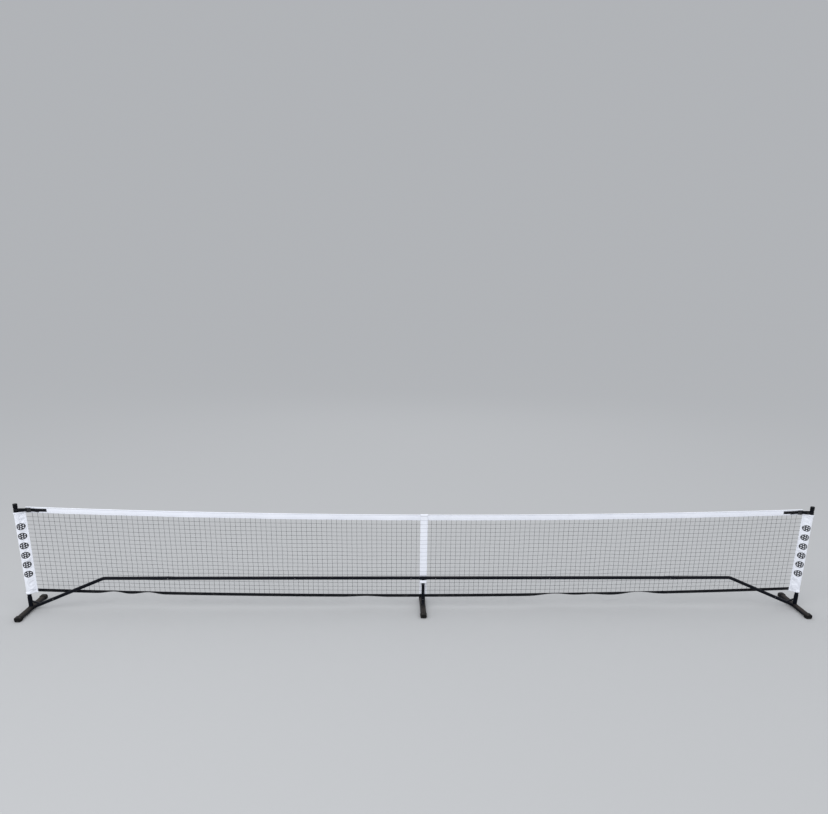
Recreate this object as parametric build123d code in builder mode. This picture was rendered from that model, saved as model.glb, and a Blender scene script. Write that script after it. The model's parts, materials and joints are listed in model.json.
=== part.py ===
"""Portable pickleball net: a tube base in sections, two lift-out posts, and a net hung between them.

Frame: origin on the ground under the net's middle, X along the net, +Z up, -Y is the front.
Right-hand pieces are drawn and their mirror images make the left-hand ones.
"""

from build123d import *
import math
import os

os.makedirs("parts", exist_ok=True)

# ---- Driving dimensions, millimetres ----

# Posts and the sleeves of the net that slip over them
POST_X = 3369.0
POST_RADIUS = 15.9
TUBE_WALL = 1.2
POST_TOP = 950.0
SLEEVE_BOTTOM = 152.0
SLEEVE_TOP = 883.0
SLEEVE_RADIUS = 22.0
SLEEVE_REACH = 65.0
CLOTH = 2.0
CAP_SKIRT = 30.0
CAP_WALL = 1.8
CAP_ROUND = 3.0

# Feet: flat-oval tubes along Y with a rubber boot on each end
FOOT_WIDTH = 50.0
FOOT_HEIGHT = 30.0
FOOT_WALL = 1.5
FOOT_Z = 20.0
END_FOOT_LENGTH = 476.0
CENTRE_FOOT_LENGTH = 390.0
BOOT_WIDTH = 56.0
BOOT_GRIP = 40.0
BOOT_END = 5.0
BOOT_CORNER = 12.0
BOOT_TOE_ROUND = 4.0

# Sockets welded on the feet
SOCKET_TOP = 122.0
SOCKET_WALL = 2.0
SLIDE_CLEARANCE = 0.08
LEG_SOCKET_TOP = 112.0

# Struts that brace the sockets: flat bars, 16 wide
STRUT_HALF_WIDTH = 8.0
STRUT_DEPTH = 11.0
STRUT_TOP_Z = 90.0
STRUT_RUN = 95.0
STRUT_DROP = 30.0
CENTRE_STRUT_TOP_Z = 86.0
CENTRE_STRUT_RUN = 78.0
CENTRE_STRUT_FOOT = 18.0

# Base bar: one tube size, each section's reduced end slipping into the next
BAR_RADIUS = 14.3
BAR_Z = 291.0
BEND_X = 2730.0
BEND_RADIUS = 90.0
STUB_X = POST_X - 23.0
STUB_Z = 27.0
STUB_LENGTH = 220.0
OUTER_JOINT_X = 2160.0
INNER_JOINT_X = 1080.0
TEE_JOINT_X = 80.0
SLIP_GAP = 0.15
SLIP_LENGTH = 57.5
SWAGE_START = 0.5
SWAGE_LENGTH = 4.0

# Centre leg under the tee
LEG_RADIUS = 12.7
LEG_BOTTOM = FOOT_Z + FOOT_HEIGHT / 2 + 1.0
SPIGOT_RADIUS = LEG_RADIUS - TUBE_WALL - SLIP_GAP
SPIGOT_BOTTOM = 216.0

# Snap buttons, all facing the front
BUTTON_RADIUS = 3.92
BUTTON_HOLE = 4.0
BUTTON_PROUD = 4.0
BUTTON_SETBACK = 28.0
FLANGE_RADIUS = 5.5
FLANGE_THICKNESS = 1.0
SPRING_STRIP = 0.8
SPRING_WIDTH = 8.0
SPRING_REACH = 38.0
SPRING_BEND = 2.0
BUTTON_DOME = 2.6
LEG_BUTTON_Z = 232.0
SOCKET_BUTTON_Z = 92.0

# Net: 762 deep, hung on a cord, its top edge 914.4 high at the court's sidelines and 863.6 at the middle
NET_Y = 21.0
NET_END = 3298.0
NET_DEPTH = 762.0
TOP_MIDDLE = 863.6
SIDELINE_X = 3048.0
SAG = 50.8
TAPE_DEPTH = 50.8
TAPE_THICKNESS = 3.0
HEM_RADIUS = 3.6
CORD_RADIUS = 2.5
BOTTOM_TAPE_DEPTH = 28.0
MESH_THICKNESS = 1.0
SEAM_GAP = 0.3
BAND_WIDTH = 62.0
BAND_CLOTH = 1.0
COLLAR_BOTTOM = 248.0
COLLAR_HEIGHT = 26.0
COLLAR_WIDTH = 58.0

# Tension strap and cam buckle at each top corner
STRAP_Z = 897.0
STRAP_WIDTH = 25.0
WEBBING = 1.5
BUCKLE_X = 3255.0
BUCKLE_LENGTH = 46.0
BUCKLE_HEIGHT = 34.0
PLATE = 1.6
PLATE_FRONT = 15.0
PIN_X = 3277.0
PIN_Y = 6.5
PIN_RADIUS = 2.0
CAM_RADIUS = 6.3
TAB_START = 3132.0
TAB_END = 3251.0
STRAP_LAYER_GAP = 0.2
BUCKLE_CORNER = 4.0
SLOT_WIDTH = 4.0
SLOT_INSET = 5.0
EAR_LENGTH = 24.0
EAR_FRONT = 1.5
EAR_CORNER = 3.0
PIN_HEAD_RADIUS = 3.2
PIN_HEAD = 1.2
PIN_HEAD_GAP = 0.1
LEVER_HEIGHT = 28.0
LEVER_REACH = 30.0
LEVER_FLAT = 21.0
LEVER_PLATE = 2.2
LEVER_KICK = 4.0
LEVER_ROUND = 0.9

# ---- Worked out from those ----

DIAGONAL = math.atan2(BAR_Z - STUB_Z, STUB_X - BEND_X)
UP_THE_STUB = Vector(-math.cos(DIAGONAL), 0, math.sin(DIAGONAL))
TO_THE_MIDDLE = Vector(-1, 0, 0)
DOWN = Vector(0, 0, -1)
STUB_FOOT = Vector(STUB_X, 0, STUB_Z)
STUB_MOUTH = STUB_FOOT + UP_THE_STUB * STUB_LENGTH
OUTER_MOUTH = Vector(OUTER_JOINT_X, 0, BAR_Z)
INNER_MOUTH = Vector(INNER_JOINT_X, 0, BAR_Z)
TEE_MOUTH = Vector(TEE_JOINT_X, 0, BAR_Z)
SLIP_RADIUS = BAR_RADIUS - TUBE_WALL - SLIP_GAP
FOOT_TOP = FOOT_Z + FOOT_HEIGHT / 2
SAG_RADIUS = (SIDELINE_X**2 + SAG**2) / (2 * SAG)


def arc_height(x, middle):
    """Height at x of an edge that hangs parallel to the net's top and is `middle` high at x = 0."""
    return middle + SAG_RADIUS - math.sqrt(SAG_RADIUS**2 - x**2)


def write(piece, node):
    """Labels one finished piece and writes its STEP file."""
    piece.label = node
    export_step(piece, f"parts/{node}.step")


def write_pair(piece, node):
    """Writes a right-hand piece and its mirror image on the left."""
    write(piece, "right_" + node)
    write(mirror(piece, about=Plane.YZ), "left_" + node)


# ---- Steps used inside a part ----


def ring(plane, outer, inner, length):
    """Adds a straight round tube that starts on a plane and runs along its normal."""
    with BuildSketch(plane) as section:
        Circle(outer)
        Circle(inner, mode=Mode.SUBTRACT)
    extrude(section.sketch, amount=length)


def across(origin, direction):
    """The plane at a point, square to a tube's direction, with Y as its own x."""
    return Plane(origin=origin, x_dir=(0, 1, 0), z_dir=direction)


def slip_end(mouth, direction):
    """Adds the reduced end that slips into the tube whose mouth is given, and the swage out to full size."""
    plane = Plane(origin=mouth, x_dir=(0, 1, 0), z_dir=Vector(0, 1, 0).cross(direction))
    full = SWAGE_START + SWAGE_LENGTH
    with BuildSketch(plane) as section:
        with BuildLine():
            Polyline(
                (SLIP_RADIUS, -SLIP_LENGTH),
                (SLIP_RADIUS, SWAGE_START),
                (BAR_RADIUS, full),
                (BAR_RADIUS, full + 2 * TUBE_WALL),
                (BAR_RADIUS - TUBE_WALL, full + 2 * TUBE_WALL),
                (BAR_RADIUS - TUBE_WALL, full + TUBE_WALL / 2),
                (SLIP_RADIUS - TUBE_WALL, SWAGE_START + TUBE_WALL / 2),
                (SLIP_RADIUS - TUBE_WALL, -SLIP_LENGTH),
                close=True,
            )
        make_face()
    revolve(section.sketch, axis=Axis(mouth, direction))


def front_hole(centre):
    """Cuts a snap button's hole through the front wall only."""
    with BuildSketch(Plane(origin=centre, x_dir=(1, 0, 0), z_dir=(0, -1, 0))) as hole:
        Circle(BUTTON_HOLE)
    extrude(hole.sketch, amount=2 * BAR_RADIUS, mode=Mode.SUBTRACT)


def cut_foot_shape(x, reach):
    """Cuts away the foot tube's full oval, so that a welded piece sits on it."""
    with BuildSketch(Plane.XZ) as oval:
        with Locations((x, FOOT_Z)):
            SlotOverall(FOOT_WIDTH, FOOT_HEIGHT)
    extrude(oval.sketch, amount=reach, both=True, mode=Mode.SUBTRACT)


def before(mouth, direction):
    """A snap button's place, set back from a tube's mouth."""
    return mouth - direction * BUTTON_SETBACK


# ---- Feet ----


def foot_tube(x, length):
    """Flat-oval tube lying along Y."""
    with BuildPart() as tube:
        with BuildSketch(Plane.XZ):
            with Locations((x, FOOT_Z)):
                SlotOverall(FOOT_WIDTH, FOOT_HEIGHT)
                SlotOverall(
                    FOOT_WIDTH - 2 * FOOT_WALL, FOOT_HEIGHT - 2 * FOOT_WALL, mode=Mode.SUBTRACT
                )
        extrude(amount=length / 2, both=True)
    return tube.part


def foot_boots(x, length):
    """Two rubber boots, one on each end of a foot, that carry it on their flat soles."""
    tube_end = length / 2
    with BuildPart() as boots:
        with BuildSketch(Plane.XZ.offset(tube_end - BOOT_GRIP)):
            with Locations((x, FOOT_Z)):
                RectangleRounded(BOOT_WIDTH, 2 * FOOT_Z, BOOT_CORNER)
        extrude(amount=BOOT_GRIP + BOOT_END)
        fillet(boots.faces().sort_by(Axis.Y)[0].edges(), radius=BOOT_TOE_ROUND)
        with BuildSketch(Plane.XZ.offset(tube_end - BOOT_GRIP)):
            with Locations((x, FOOT_Z)):
                SlotOverall(FOOT_WIDTH + 2 * SLIP_GAP, FOOT_HEIGHT + 2 * SLIP_GAP)
        extrude(amount=BOOT_GRIP + SLIP_GAP, mode=Mode.SUBTRACT)
        mirror(about=Plane.XZ)
    return boots.part


def welded_socket(x, inner, wall, top):
    """Upright socket whose lower end is shaped to the foot's oval."""
    with BuildPart() as socket:
        ring(Plane((x, 0, FOOT_Z)), inner + wall, inner, top - FOOT_Z)
        cut_foot_shape(x, inner + 2 * wall)
    return socket.part


# The stub that starts the base bar, welded to the foot's inner side
with BuildPart() as stub_tube:
    ring(across(STUB_FOOT, UP_THE_STUB), BAR_RADIUS, BAR_RADIUS - TUBE_WALL, STUB_LENGTH)
    cut_foot_shape(POST_X, 2 * BAR_RADIUS)
    with BuildSketch(Plane((POST_X, 0, 0))):
        Circle(POST_RADIUS + SLIDE_CLEARANCE + SOCKET_WALL)
    extrude(amount=SOCKET_TOP, mode=Mode.SUBTRACT)
    front_hole(before(STUB_MOUTH, UP_THE_STUB))
write_pair(stub_tube.part, "stub_tube")

# Strut from the post socket's inner side down to the stub
with BuildPart() as socket_strut:
    with BuildSketch(Plane.XZ):
        with BuildLine():
            Polyline(
                (POST_X, STRUT_TOP_Z),
                (POST_X - STRUT_RUN, STRUT_TOP_Z - STRUT_DROP),
                (POST_X - STRUT_RUN, STRUT_TOP_Z - STRUT_DROP - STRUT_DEPTH),
                (POST_X, STRUT_TOP_Z - STRUT_DEPTH),
                close=True,
            )
        make_face()
    extrude(amount=STRUT_HALF_WIDTH, both=True)
    with BuildSketch(Plane((POST_X, 0, 0))):
        Circle(POST_RADIUS + SLIDE_CLEARANCE + SOCKET_WALL)
    extrude(amount=SOCKET_TOP, mode=Mode.SUBTRACT)
    with BuildSketch(across(STUB_FOOT, UP_THE_STUB)):
        Circle(BAR_RADIUS)
    extrude(amount=STUB_LENGTH, mode=Mode.SUBTRACT)
write_pair(socket_strut.part, "socket_strut")

# Strut in front of the centre leg, from its socket down to the foot
with BuildPart() as centre_strut:
    with BuildSketch(Plane.YZ):
        with BuildLine():
            Polyline(
                (0, CENTRE_STRUT_TOP_Z),
                (-CENTRE_STRUT_RUN, FOOT_TOP),
                (-CENTRE_STRUT_RUN + CENTRE_STRUT_FOOT, FOOT_TOP),
                (0, CENTRE_STRUT_TOP_Z - STRUT_DEPTH),
                close=True,
            )
        make_face()
    extrude(amount=STRUT_HALF_WIDTH, both=True)
    with BuildSketch(Plane((0, 0, 0))):
        Circle(LEG_RADIUS + SLIP_GAP + SOCKET_WALL)
    extrude(amount=SOCKET_TOP, mode=Mode.SUBTRACT)
write(centre_strut.part, "centre_strut")

write_pair(foot_tube(POST_X, END_FOOT_LENGTH), "foot_tube")
write(foot_tube(0, CENTRE_FOOT_LENGTH), "centre_foot_tube")
write_pair(foot_boots(POST_X, END_FOOT_LENGTH), "foot_boots")
write(foot_boots(0, CENTRE_FOOT_LENGTH), "centre_foot_boots")
write_pair(
    welded_socket(POST_X, POST_RADIUS + SLIDE_CLEARANCE, SOCKET_WALL, SOCKET_TOP), "post_socket"
)

# ---- Base bar ----

with BuildPart() as angled_tube:
    slip_end(STUB_MOUTH, UP_THE_STUB)
    bend_start = STUB_MOUTH + UP_THE_STUB * (SWAGE_START + SWAGE_LENGTH + 2 * TUBE_WALL)
    with BuildLine():
        FilletPolyline(bend_start, (BEND_X, 0, BAR_Z), OUTER_MOUTH, radius=BEND_RADIUS)
    with BuildSketch(across(bend_start, UP_THE_STUB)):
        Circle(BAR_RADIUS)
        Circle(BAR_RADIUS - TUBE_WALL, mode=Mode.SUBTRACT)
    sweep()
    front_hole(before(STUB_MOUTH, UP_THE_STUB))
    front_hole(before(OUTER_MOUTH, TO_THE_MIDDLE))
write_pair(angled_tube.part, "angled_tube")


def bar_section(outer_mouth, inner_mouth):
    """Straight section with its slip end in one tube's mouth and its own mouth nearer the middle."""
    full = outer_mouth + TO_THE_MIDDLE * (SWAGE_START + SWAGE_LENGTH + 2 * TUBE_WALL)
    with BuildPart() as bar:
        slip_end(outer_mouth, TO_THE_MIDDLE)
        ring(
            across(full, TO_THE_MIDDLE),
            BAR_RADIUS,
            BAR_RADIUS - TUBE_WALL,
            (full - inner_mouth).length,
        )
        front_hole(before(outer_mouth, TO_THE_MIDDLE))
        front_hole(before(inner_mouth, TO_THE_MIDDLE))
    return bar.part


write_pair(bar_section(OUTER_MOUTH, INNER_MOUTH), "outer_bar")
write_pair(bar_section(INNER_MOUTH, TEE_MOUTH), "inner_bar")

# Tee: a slip end into each inner bar, and a spigot down into the leg
with BuildPart() as centre_tee:
    slip_end(TEE_MOUTH, TO_THE_MIDDLE)
    tee_full = TEE_JOINT_X - SWAGE_START - SWAGE_LENGTH - 2 * TUBE_WALL
    ring(across((tee_full, 0, BAR_Z), TO_THE_MIDDLE), BAR_RADIUS, BAR_RADIUS - TUBE_WALL, tee_full)
    front_hole(before(TEE_MOUTH, TO_THE_MIDDLE))
    mirror(about=Plane.YZ)
    ring(
        Plane((0, 0, SPIGOT_BOTTOM)),
        SPIGOT_RADIUS,
        SPIGOT_RADIUS - TUBE_WALL,
        BAR_Z - SPIGOT_BOTTOM,
    )
    with BuildSketch(Plane.YZ):
        with Locations((0, BAR_Z)):
            Circle(BAR_RADIUS - TUBE_WALL)
    extrude(amount=BAR_RADIUS, both=True, mode=Mode.SUBTRACT)
    front_hole(Vector(0, 0, LEG_BUTTON_Z))
write(centre_tee.part, "centre_tee")

# Centre leg, its top shaped to the underside of the bar
with BuildPart() as centre_leg:
    ring(Plane((0, 0, LEG_BOTTOM)), LEG_RADIUS, LEG_RADIUS - TUBE_WALL, BAR_Z - LEG_BOTTOM)
    with BuildSketch(Plane.YZ):
        with Locations((0, BAR_Z)):
            Circle(BAR_RADIUS + SLIP_GAP)
    extrude(amount=BAR_RADIUS, both=True, mode=Mode.SUBTRACT)
    front_hole(Vector(0, 0, LEG_BUTTON_Z))
    front_hole(Vector(0, 0, SOCKET_BUTTON_Z))
write(centre_leg.part, "centre_leg")

with BuildPart() as centre_leg_socket:
    ring(
        Plane((0, 0, FOOT_Z)),
        LEG_RADIUS + SLIP_GAP + SOCKET_WALL,
        LEG_RADIUS + SLIP_GAP,
        LEG_SOCKET_TOP - FOOT_Z,
    )
    cut_foot_shape(0, 2 * LEG_RADIUS)
    front_hole(Vector(0, 0, SOCKET_BUTTON_Z))
write(centre_leg_socket.part, "centre_leg_socket")

# ---- Snap buttons and their springs ----


def flange_face(inner_radius):
    """How far from the tube's axis the button's flange can sit inside a tube of this radius."""
    return math.sqrt(inner_radius**2 - FLANGE_RADIUS**2) - SLIP_GAP


def snap_button(centre, outer_radius, inner_radius):
    """Domed stud standing through both tube walls, with a flange inside the inner tube."""
    face = flange_face(inner_radius)
    inside_out = Plane(origin=centre, x_dir=(1, 0, 0), z_dir=(0, -1, 0))
    with BuildPart() as button:
        with BuildSketch(inside_out.offset(face - FLANGE_THICKNESS)):
            Circle(BUTTON_RADIUS)
        extrude(amount=outer_radius + BUTTON_PROUD - face + FLANGE_THICKNESS)
        fillet(button.faces().sort_by(Axis.Y)[0].edges(), radius=BUTTON_DOME)
        with BuildSketch(inside_out.offset(face - FLANGE_THICKNESS)):
            Circle(FLANGE_RADIUS)
        extrude(amount=FLANGE_THICKNESS)
    return button.part


def snap_spring(centre, along, inner_radius):
    """V-shaped strip: one leaf lies under the button's flange, the other on the tube's far wall."""
    leaf = flange_face(inner_radius) - FLANGE_THICKNESS - SPRING_STRIP / 2
    far = math.sqrt(inner_radius**2 - (SPRING_WIDTH / 2) ** 2) - SPRING_STRIP
    plane = Plane(origin=centre, x_dir=along, z_dir=along.cross(Vector(0, -1, 0)))
    with BuildPart() as spring:
        with BuildSketch(plane):
            with BuildLine():
                FilletPolyline(
                    (-FLANGE_RADIUS, leaf),
                    (FLANGE_RADIUS, leaf),
                    (SPRING_REACH, 0),
                    (FLANGE_RADIUS, -far),
                    (-FLANGE_RADIUS, -far),
                    radius=SPRING_BEND,
                )
            trace(line_width=SPRING_STRIP)
        extrude(amount=SPRING_WIDTH / 2, both=True)
    return spring.part


SLIP_INNER = SLIP_RADIUS - TUBE_WALL
SIDE_BUTTONS = {
    "stub_button": (before(STUB_MOUTH, UP_THE_STUB), UP_THE_STUB),
    "outer_button": (before(OUTER_MOUTH, TO_THE_MIDDLE), TO_THE_MIDDLE),
    "inner_button": (before(INNER_MOUTH, TO_THE_MIDDLE), TO_THE_MIDDLE),
    "tee_button": (before(TEE_MOUTH, TO_THE_MIDDLE), TO_THE_MIDDLE),
}
springs = []
for button_node, (place, run) in SIDE_BUTTONS.items():
    write_pair(snap_button(place, BAR_RADIUS, SLIP_INNER), button_node)
    spring = snap_spring(place, run, SLIP_INNER)
    springs += [spring, mirror(spring, about=Plane.YZ)]

LEG_TOP_PLACE = Vector(0, 0, LEG_BUTTON_Z)
LEG_FOOT_PLACE = Vector(0, 0, SOCKET_BUTTON_Z)
SPIGOT_INNER = SPIGOT_RADIUS - TUBE_WALL
LEG_INNER = LEG_RADIUS - TUBE_WALL
write(snap_button(LEG_TOP_PLACE, LEG_RADIUS, SPIGOT_INNER), "leg_button")
write(
    snap_button(LEG_FOOT_PLACE, LEG_RADIUS + SLIP_GAP + SOCKET_WALL, LEG_INNER),
    "foot_button",
)
springs.append(snap_spring(LEG_TOP_PLACE, Vector(0, 0, 1), SPIGOT_INNER))
springs.append(snap_spring(LEG_FOOT_PLACE, Vector(0, 0, 1), LEG_INNER))
write(Compound(children=springs), "snap_springs")

# ---- Posts ----

with BuildPart() as post:
    ring(Plane((POST_X, 0, FOOT_TOP)), POST_RADIUS, POST_RADIUS - TUBE_WALL, POST_TOP - FOOT_TOP)
write_pair(post.part, "post")

with BuildPart() as post_cap:
    with BuildSketch(Plane((POST_X, 0, POST_TOP - CAP_SKIRT))):
        Circle(POST_RADIUS + SLIP_GAP + CAP_WALL)
    extrude(amount=CAP_SKIRT + 2 * CAP_WALL)
    fillet(post_cap.faces().sort_by(Axis.Z)[-1].edges(), radius=CAP_ROUND)
    with BuildSketch(Plane((POST_X, 0, POST_TOP - CAP_SKIRT))):
        Circle(POST_RADIUS + SLIP_GAP)
    extrude(amount=CAP_SKIRT, mode=Mode.SUBTRACT)
write_pair(post_cap.part, "post_cap")

# Sleeve: cloth round the post, drawn in to a flat seam in the net's plane
with BuildPart() as sleeve:
    with BuildSketch(Plane.XY.offset(SLEEVE_BOTTOM)):
        with Locations((POST_X, 0)):
            Circle(SLEEVE_RADIUS)
        with Locations((POST_X - SLEEVE_REACH, NET_Y)):
            Circle(1.5 * CLOTH)
        make_hull()
        offset(amount=-CLOTH, mode=Mode.SUBTRACT)
    extrude(amount=SLEEVE_TOP - SLEEVE_BOTTOM)
write_pair(sleeve.part, "sleeve")

# ---- Net ----


def hanging_path(middle):
    """The arc that a line `middle` high at x = 0 follows from one end of the net to the other."""
    end = arc_height(NET_END, middle)
    return ThreePointArc((-NET_END, NET_Y, end), (0, NET_Y, middle), (NET_END, NET_Y, end))


def hanging_plane(path):
    """The plane at the arc's start, with Y as its own x and its own y pointing up."""
    return Plane(origin=path @ 0, x_dir=(0, 1, 0), z_dir=path % 0)


CORD_MIDDLE = TOP_MIDDLE - HEM_RADIUS
with BuildPart() as top_tape:
    with BuildLine() as cord_path:
        hanging_path(CORD_MIDDLE)
    with BuildSketch(hanging_plane(cord_path.line)):
        Circle(HEM_RADIUS)
        with Locations((0, -(TAPE_DEPTH - HEM_RADIUS) / 2)):
            Rectangle(TAPE_THICKNESS, TAPE_DEPTH - HEM_RADIUS)
        Circle(CORD_RADIUS + SLIDE_CLEARANCE, mode=Mode.SUBTRACT)
    sweep()
write(top_tape.part, "top_tape")

with BuildPart() as top_cord:
    with BuildLine() as cord_path:
        hanging_path(CORD_MIDDLE)
    with BuildSketch(hanging_plane(cord_path.line)):
        Circle(CORD_RADIUS)
    sweep()
write(top_cord.part, "top_cord")

BOTTOM_MIDDLE = TOP_MIDDLE - NET_DEPTH
with BuildPart() as bottom_tape:
    with BuildLine() as tape_path:
        hanging_path(BOTTOM_MIDDLE + BOTTOM_TAPE_DEPTH / 2)
    with BuildSketch(hanging_plane(tape_path.line)):
        Rectangle(TAPE_THICKNESS, BOTTOM_TAPE_DEPTH)
    sweep()
write(bottom_tape.part, "bottom_tape")

PANEL_LOW = BOTTOM_MIDDLE + BOTTOM_TAPE_DEPTH + SEAM_GAP
PANEL_HIGH = TOP_MIDDLE - TAPE_DEPTH - SEAM_GAP
PANEL_ENDS = (SEAM_GAP, NET_END)
BAND_BOTTOM = PANEL_LOW + SEAM_GAP


def hanging_edge(middle):
    """Half of one edge of the net, from its middle to its end."""
    inner, outer = PANEL_ENDS
    half = (inner + outer) / 2
    return ThreePointArc(
        (inner, arc_height(inner, middle)),
        (half, arc_height(half, middle)),
        (outer, arc_height(outer, middle)),
    )


with BuildPart() as net_panel:
    with BuildSketch(Plane.XZ.offset(-NET_Y)):
        with BuildLine():
            low = hanging_edge(PANEL_LOW)
            high = hanging_edge(PANEL_HIGH)
            Line(low @ 0, high @ 0)
            Line(low @ 1, high @ 1)
        make_face()
    extrude(amount=MESH_THICKNESS / 2, both=True)
    with BuildSketch(Plane.XZ.offset(-NET_Y)):
        with Locations((0, PANEL_LOW)):
            Rectangle(BAND_WIDTH + 2 * SEAM_GAP, 2 * (BAND_CLOTH + 2 * SEAM_GAP))
    extrude(amount=MESH_THICKNESS, both=True, mode=Mode.SUBTRACT)
write_pair(net_panel.part, "net_panel")

# Centre band: a flat loop of cloth over the top hem, passed through the mesh just above the bottom tape
BAND_TOP = TOP_MIDDLE + 3 * BAND_CLOTH
BAND_HEIGHT = BAND_TOP - BAND_BOTTOM
BAND_THICKNESS = 2 * (HEM_RADIUS + 1.5 * BAND_CLOTH)
with BuildPart() as centre_band:
    with BuildSketch(Plane.YZ):
        with Locations((NET_Y, (BAND_TOP + BAND_BOTTOM) / 2)):
            RectangleRounded(BAND_THICKNESS, BAND_HEIGHT, 2 * BAND_CLOTH)
        offset(amount=-BAND_CLOTH, mode=Mode.SUBTRACT)
    extrude(amount=BAND_WIDTH / 2, both=True)
write(centre_band.part, "centre_band")

# Centre strap: hook-and-loop collar, as wide as the band, that holds it to the leg
COLLAR_DEPTH = 2 * (LEG_RADIUS + 2 * SLIP_GAP + WEBBING)
with BuildPart() as centre_strap:
    with BuildSketch(Plane((0, 0, COLLAR_BOTTOM))):
        SlotOverall(COLLAR_WIDTH, COLLAR_DEPTH)
        SlotOverall(COLLAR_WIDTH - 2 * WEBBING, COLLAR_DEPTH - 2 * WEBBING, mode=Mode.SUBTRACT)
    extrude(amount=COLLAR_HEIGHT)
write(centre_strap.part, "centre_strap")

# ---- Tension strap and cam buckle ----

# Webbing sewn along the face of the top tape, up to the buckle
TAPE_FACE = NET_Y - TAPE_THICKNESS / 2
TAB_MIDDLE = TOP_MIDDLE - TAPE_DEPTH / 2
with BuildPart() as tape_tab:
    with BuildSketch(Plane.XZ.offset(-TAPE_FACE + SEAM_GAP)):
        with BuildLine() as tab_line:
            Line(
                (TAB_START, arc_height(TAB_START, TAB_MIDDLE)),
                (TAB_END, arc_height(TAB_END, TAB_MIDDLE)),
            )
        trace(line_width=STRAP_WIDTH)
    extrude(amount=WEBBING)
write_pair(tape_tab.part, "tape_tab")

# Strap from the buckle's far end, round the post, and back under the cam
WRAP_RADIUS = POST_RADIUS + SEAM_GAP + WEBBING / 2
UNDER_CAM_Y = PLATE_FRONT - STRAP_LAYER_GAP - WEBBING / 2
BUCKLE_END = BUCKLE_X + BUCKLE_LENGTH
APPROACH = Vector(BUCKLE_END - 2, UNDER_CAM_Y)
POST_CENTRE = Vector(POST_X, 0)
to_post = POST_CENTRE - APPROACH
sight = math.atan2(to_post.Y, to_post.X)
half_angle = math.acos(WRAP_RADIUS / to_post.length)
tangent_angle = sight + math.pi + half_angle
TANGENT = POST_CENTRE + Vector(math.cos(tangent_angle), math.sin(tangent_angle)) * WRAP_RADIUS
with BuildPart() as tension_strap:
    with BuildSketch(Plane.XY.offset(STRAP_Z - STRAP_WIDTH / 2)):
        with BuildLine():
            Polyline((BUCKLE_X + 3, UNDER_CAM_Y), APPROACH, TANGENT)
            ThreePointArc(TANGENT, (POST_X + WRAP_RADIUS, 0), (POST_X, WRAP_RADIUS))
            Line((POST_X, WRAP_RADIUS), (BUCKLE_END + 1.5, PLATE_FRONT + WEBBING))
        trace(line_width=WEBBING)
    extrude(amount=STRAP_WIDTH)
write_pair(tension_strap.part, "tension_strap")

# Buckle frame: a slotted plate with two ears that hold the pin
with BuildPart() as buckle_frame:
    with BuildSketch(Plane.XZ.offset(-PLATE_FRONT)):
        with Locations((BUCKLE_X + BUCKLE_LENGTH / 2, STRAP_Z)):
            RectangleRounded(BUCKLE_LENGTH, BUCKLE_HEIGHT, BUCKLE_CORNER)
            with GridLocations(BUCKLE_LENGTH - 2 * SLOT_INSET, 0, 2, 1):
                Rectangle(SLOT_WIDTH, STRAP_WIDTH + 2, mode=Mode.SUBTRACT)
    extrude(amount=-PLATE)
    for ear_bottom in (STRAP_Z - BUCKLE_HEIGHT / 2, STRAP_Z + BUCKLE_HEIGHT / 2 - PLATE):
        with BuildSketch(Plane.XY.offset(ear_bottom)):
            with Locations((PIN_X, (PLATE_FRONT + PLATE + EAR_FRONT) / 2)):
                RectangleRounded(EAR_LENGTH, PLATE_FRONT + PLATE - EAR_FRONT, EAR_CORNER)
            with Locations((PIN_X, PLATE_FRONT + PLATE / 2)):
                Rectangle(EAR_LENGTH, PLATE)
            with Locations((PIN_X, PIN_Y)):
                Circle(PIN_RADIUS + SLIDE_CLEARANCE, mode=Mode.SUBTRACT)
        extrude(amount=PLATE)
write_pair(buckle_frame.part, "buckle_frame")

with BuildPart() as buckle_pin:
    with BuildSketch(Plane((PIN_X, PIN_Y, STRAP_Z - BUCKLE_HEIGHT / 2 - PIN_HEAD))):
        Circle(PIN_RADIUS)
    extrude(amount=BUCKLE_HEIGHT + 2 * PIN_HEAD)
    for head_bottom in (
        -BUCKLE_HEIGHT / 2 - PIN_HEAD - PIN_HEAD_GAP,
        BUCKLE_HEIGHT / 2 + PIN_HEAD_GAP,
    ):
        with BuildSketch(Plane((PIN_X, PIN_Y, STRAP_Z + head_bottom))):
            Circle(PIN_HEAD_RADIUS)
        extrude(amount=PIN_HEAD)
write_pair(buckle_pin.part, "buckle_pin")

# Cam lever: a drum on the pin and a thumb plate that lies flat when shut
with BuildPart() as buckle_lever:
    with BuildSketch(Plane.XY.offset(STRAP_Z - LEVER_HEIGHT / 2)):
        with Locations((PIN_X, PIN_Y)):
            Circle(CAM_RADIUS)
        with BuildLine():
            FilletPolyline(
                (PIN_X, PIN_Y - CAM_RADIUS),
                (PIN_X - LEVER_FLAT, PIN_Y - CAM_RADIUS),
                (PIN_X - LEVER_REACH, PIN_Y - CAM_RADIUS - LEVER_KICK),
                (PIN_X - LEVER_REACH, PIN_Y - CAM_RADIUS - LEVER_KICK + LEVER_PLATE),
                (PIN_X - LEVER_FLAT - 1, PIN_Y - CAM_RADIUS + LEVER_PLATE),
                (PIN_X, PIN_Y - CAM_RADIUS + LEVER_PLATE),
                radius=LEVER_ROUND,
                close=True,
            )
        make_face()
        with Locations((PIN_X, PIN_Y)):
            Circle(PIN_RADIUS + SLIDE_CLEARANCE, mode=Mode.SUBTRACT)
    extrude(amount=LEVER_HEIGHT)
write_pair(buckle_lever.part, "buckle_lever")
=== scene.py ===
"""Looks for the portable pickleball net: cloth, cord, webbing, finishes, light and camera.

Every piece is in metres in the CAD model's frame: X along the net, -Y the front, +Z up.
"""

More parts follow.
